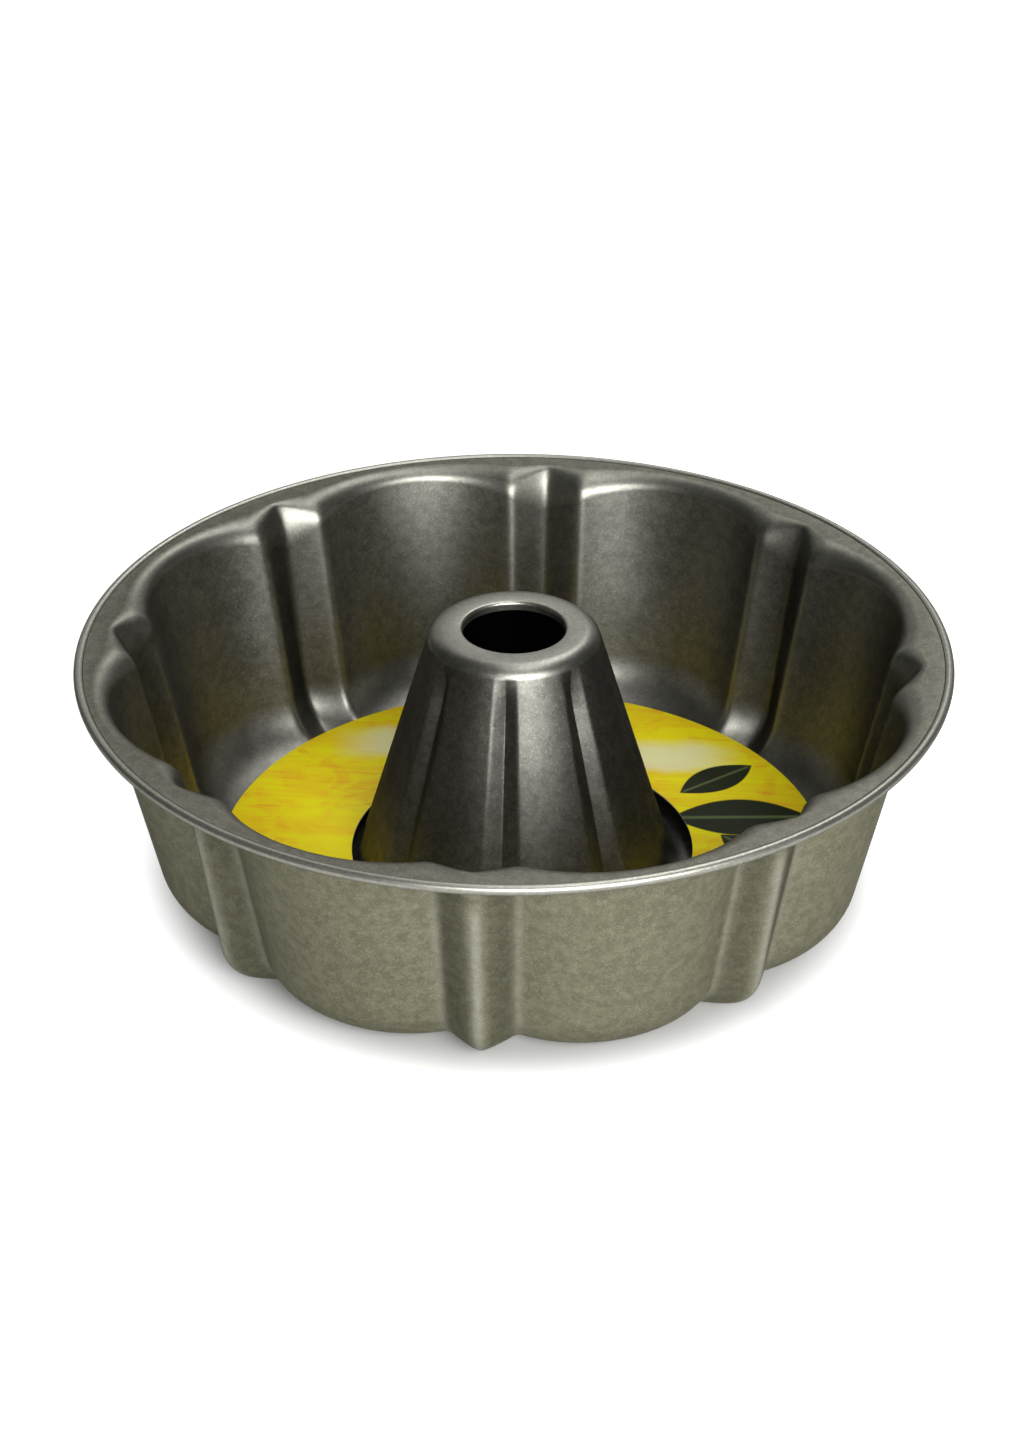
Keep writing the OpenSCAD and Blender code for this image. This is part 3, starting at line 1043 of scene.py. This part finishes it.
    def _mark_finish(self, shell: bpy.types.Object, stations: Sequence[tuple[Zone, float]],
                     upper_n: int) -> None:
        """Store each point's wear and painted highlight, its painted shade, and whether it is
        outside.

        Args:
            shell: the finished shell.
            stations: the stations down the sheet.
            upper_n: how many points the upper skin has, which come first.
        """
        data = shell.data
        for name in ("wear_and_highlight", "painted_shade", "outer"):
            data.attributes.new(name, "FLOAT", "POINT")
        marks, wear_and_highlight, painted_shade, outer = (
            data.attributes[name] for name in ("station", "wear_and_highlight", "painted_shade", "outer"))
        for vertex, mark in zip(data.vertices, marks.data):
            zone, share = stations[mark.value]
            lower = vertex.index >= upper_n
            off = self._from_rib(math.degrees(math.atan2(vertex.co.x, -vertex.co.y)))
            wear_and_highlight.data[vertex.index].value = self._wear_and_highlight_at(zone, share, off, lower, vertex.co.z)
            painted_shade.data[vertex.index].value = self._painted_shade_at(zone, share, off, lower)
            rim = {Zone.CURL: 0.3, Zone.NECK: 0.3, Zone.SHOULDER: 0.3 * (1 - share)}.get(zone, 0.0)
            outer.data[vertex.index].value = 1.0 if lower else rim

    def build(self) -> bpy.types.Object:
        """Make the whole shell.

        Returns:
            The shell as one closed mesh.
        """
        stations = self.stations()
        shell = self._spin_blank(stations)
        self._press(shell, stations)
        make_active(shell)
        upper_n = len(shell.data.vertices)
        bpy.ops.object.modifier_add(type="SOLIDIFY")
        wall = shell.modifiers[-1]
        wall.thickness = self.sheet_t
        wall.offset = 1.0
        wall.use_even_offset = True
        wall.use_quality_normals = True
        bpy.ops.object.modifier_apply(modifier=wall.name)
        self._mark_finish(shell, stations, upper_n)
        apply_place(shell)
        bpy.ops.object.shade_smooth_by_angle(angle=math.radians(50))
        return shell


# The card


@dataclass
class LooseCard:
    """The printed ring of card that lies loose in the pan."""

    outer_r: float = 89.5 * MM
    hole_r: float = 50.5 * MM
    thick: float = 0.5 * MM
    edge: float = 0.12 * MM
    round_n: int = 160

    def build(self, low: Vector, high: Vector) -> bpy.types.Object:
        """Make the card inside its node's box.

        Args:
            low: the lowest corner of the card's node.
            high: the highest corner of the card's node.

        Returns:
            The card as one closed mesh.
        """
        middle = (low + high) / 2
        deselect_all()
        bpy.ops.mesh.primitive_circle_add(vertices=self.round_n, radius=self.outer_r,
                                          fill_type="NGON",
                                          location=(middle.x, middle.y, low.z))
        card = bpy.context.object
        card.name = "card_ring"
        bpy.ops.object.mode_set(mode="EDIT")
        bpy.ops.mesh.select_all(action="SELECT")
        bpy.ops.mesh.inset(thickness=self.outer_r - self.hole_r)
        bpy.ops.mesh.delete(type="FACE")
        bpy.ops.mesh.select_all(action="SELECT")
        bpy.ops.mesh.extrude_region_move(TRANSFORM_OT_translate={"value": (0, 0, self.thick)})
        bpy.ops.mesh.select_all(action="SELECT")
        bpy.ops.mesh.normals_make_consistent(inside=False)
        bpy.ops.object.mode_set(mode="OBJECT")
        bpy.ops.object.modifier_add(type="BEVEL")
        bevel = card.modifiers[-1]
        bevel.width = self.edge
        bevel.segments = 2
        bevel.limit_method = "ANGLE"
        bevel.angle_limit = math.radians(40)
        bpy.ops.object.modifier_apply(modifier=bevel.name)
        apply_place(card)
        bpy.ops.object.shade_smooth_by_angle(angle=math.radians(35))
        return card

    @staticmethod
    def dress(card: bpy.types.Object, face: bpy.types.Material,
              back: bpy.types.Material) -> None:
        """Print the upper face and leave the rest as raw board.

        Args:
            card: the card.
            face: the printed material.
            back: the raw board.
        """
        card.data.materials.append(face)
        card.data.materials.append(back)
        for side in card.data.polygons:
            side.material_index = 0 if side.normal.z > 0.5 else 1


# The studio


@dataclass
class Lamp:
    """One soft area lamp, by its direction from the pan, its distance, size, power and turn."""

    name: str
    azimuth: float
    elevation: float
    distance: float
    size: tuple[float, float]
    power: float
    turn: float = 0.0


@dataclass
class Studio:
    """A plain pale floor, a pale world, soft lamps and the camera of the photograph."""

    camera_azimuth: float = 5.25
    camera_elevation: float = 30.84
    camera_distance: float = 0.875
    aim: tuple[float, float] = (1.0 * MM, 49.1 * MM)
    focal_px: float = 3017.6
    frame_px: tuple[int, int] = (1035, 1440)
    sensor_mm: float = 36.0
    lamps: tuple[Lamp, ...] = (
        Lamp("key", 20.0, 27.0, 1.1, (0.72, 0.58), 16.0),
        Lamp("strip", 148.9, 72.3, 1.05, (0.38, 1.45), 4.7, 30.6),
    )
    room_glow: float = 0.034
    backdrop_glow: float = 0.48
    fill_glow: float = 0.09
    backdrop_elevation: float = 20.0
    backdrop_edge: tuple[float, float] = (0.64, 0.90)
    under_glow: float = 0.4
    floor_size: float = 8.0
    floor_drop: float = 0.02 * MM
    floor_shade: float = 0.62
    floor_glow: float = 0.9
    floor_mirror: float = 0.09
    glow_edge: tuple[float, float] = (90.0 * MM, 115.0 * MM)
    open_r: float = 85.0 * MM

    def camera(self) -> None:
        """Place the camera where the photograph was taken from."""
        a = math.radians(self.camera_azimuth)
        back = direction(self.camera_azimuth, self.camera_elevation)
        side = Vector((math.cos(a), math.sin(a), 0.0))
        aim = side * self.aim[0] + Vector((0, 0, self.aim[1]))
        deselect_all()
        bpy.ops.object.camera_add(location=aim + back * self.camera_distance)
        camera = bpy.context.object
        camera.name = "camera"
        camera.rotation_mode = "QUATERNION"
        camera.rotation_quaternion = (-back).to_track_quat("-Z", "Y")
        camera.data.sensor_width = self.sensor_mm
        camera.data.lens = self.focal_px * self.sensor_mm / max(self.frame_px)
        camera.data.clip_start = 0.05
        bpy.context.scene.camera = camera

    def floor(self) -> None:
        """Lay a pale floor with the pan's shadow, open under the pan and from below."""
        deselect_all()
        bpy.ops.mesh.primitive_plane_add(size=self.floor_size, location=(0, 0, -self.floor_drop))
        plane = bpy.context.object
        plane.name = "studio_floor"
        material, graph, shader = new_material("pale_floor")
        shader.inputs["Base Color"].default_value = (*[self.floor_shade] * 3, 1)
        shader.inputs["Roughness"].default_value = 0.9
        shader.inputs["Specular IOR Level"].default_value = 0.1
        rays = graph.node("LightPath")
        seen = graph.math("MULTIPLY_ADD", rays.outputs["Is Glossy Ray"], self.floor_mirror,
                          rays.outputs["Is Camera Ray"])
        reach = graph.node("VectorMath", operation="LENGTH")
        graph.feed(reach.inputs[0], graph.node("TexCoord").outputs["Object"])
        clear = graph.spread(reach.outputs["Value"], *self.glow_edge)
        glow = graph.node("Emission")
        glow.inputs["Color"].default_value = (1, 1, 1, 1)
        graph.feed(glow.inputs["Strength"],
                   graph.math("MULTIPLY", graph.math("MULTIPLY", seen, clear), self.floor_glow))
        both = graph.node("AddShader")
        graph.feed(both.inputs[0], shader.outputs[0])
        graph.feed(both.inputs[1], glow.outputs[0])
        under = graph.math("LESS_THAN", reach.outputs["Value"], self.open_r)
        gone = graph.math("MAXIMUM", under, graph.node("NewGeometry").outputs["Backfacing"])
        seen_through = graph.node("MixShader")
        graph.feed(seen_through.inputs[0], gone)
        graph.feed(seen_through.inputs[1], both.outputs[0])
        graph.feed(seen_through.inputs[2], graph.node("BsdfTransparent").outputs[0])
        out = material.node_tree.nodes["Material Output"]
        graph.feed(out.inputs["Surface"], seen_through.outputs[0])
        plane.data.materials.append(material)
        plane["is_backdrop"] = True

    def world(self) -> None:
        """Set a room white to the camera, dim in reflections, with a backdrop and a low fill."""
        world = bpy.data.worlds.new("studio_air")
        bpy.context.scene.world = world
        world.use_nodes = True
        graph = Graph(world.node_tree)
        back = world.node_tree.nodes["Background"]
        way = graph.node("TexCoord").outputs["Generated"]
        aimed = graph.node("VectorMath", operation="DOT_PRODUCT")
        graph.feed(aimed.inputs[0], way)
        graph.feed(aimed.inputs[1],
                   direction(180.0 + self.camera_azimuth, self.backdrop_elevation))
        sheet = graph.spread(aimed.outputs["Value"], *self.backdrop_edge)
        mirrored = graph.math("MULTIPLY_ADD", sheet, self.backdrop_glow, self.room_glow)
        rays = graph.node("LightPath")
        soft = graph.math("SUBTRACT", 1.0, rays.outputs["Is Glossy Ray"])
        strength = graph.math("MULTIPLY_ADD", rays.outputs["Is Glossy Ray"], mirrored,
                              graph.math("MULTIPLY", soft, self.fill_glow))
        split = graph.node("SeparateXYZ")
        graph.feed(split.inputs[0], way)
        strength = graph.math("MULTIPLY_ADD", graph.spread(split.outputs[2], -0.02, -0.2),
                              self.under_glow, strength)
        shown = graph.math("MAXIMUM", rays.outputs["Is Camera Ray"],
                           rays.outputs["Is Transmission Ray"])
        back.inputs["Color"].default_value = (1, 1, 1, 1)
        graph.feed(back.inputs["Strength"], graph.math("MAXIMUM", shown, strength))

    def light(self) -> None:
        """Hang the soft lamps, each turned towards the pan."""
        for lamp in self.lamps:
            way = direction(lamp.azimuth, lamp.elevation)
            deselect_all()
            bpy.ops.object.light_add(type="AREA", location=way * lamp.distance)
            made = bpy.context.object
            made.name = f"lamp_{lamp.name}"
            made.data.shape = "RECTANGLE"
            made.data.size, made.data.size_y = lamp.size
            made.data.energy = lamp.power
            made.rotation_mode = "QUATERNION"
            made.rotation_quaternion = ((-way).to_track_quat("-Z", "Y")
                                        @ Quaternion((0, 0, 1), math.radians(lamp.turn)))

    def build(self) -> None:
        """Make the whole studio."""
        scene = bpy.context.scene
        scene.view_settings.view_transform = "Standard"
        self.camera()
        self.floor()
        self.world()
        self.light()


# Putting it together


def report(piece: bpy.types.Object) -> None:
    """Log one finished piece.

    Args:
        piece: the piece.
    """
    log.info("%s: %d vertices, %d faces", piece.name, len(piece.data.vertices),
             len(piece.data.polygons))


def save_boxes() -> None:
    bpy.context.view_layer.update()


def main() -> None:
    """Build the pan, the card and the studio."""
    logging.basicConfig(level=logging.INFO, format="%(message)s")
    cad_box = [corner.copy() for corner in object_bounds()]
    effects = SharedEffects()

    shell = DrawnPan().build()
    shell.data.materials.append(NonStickCoat().build(effects))
    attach(shell, "pan")
    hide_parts("pan_body")
    report(shell)

    loose = LooseCard()
    low, high = (Vector(corner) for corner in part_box("card_insert"))
    card = loose.build(low, high)
    middle = (low + high) / 2
    loose.dress(card, PrintedCard().build(effects, (middle.x, middle.y, 0.0)),
                RawBoard().build(effects))
    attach(card, "card")
    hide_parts("card_insert")
    report(card)

    Studio().build()
    save_boxes()


if __name__ == "__main__":
    main()
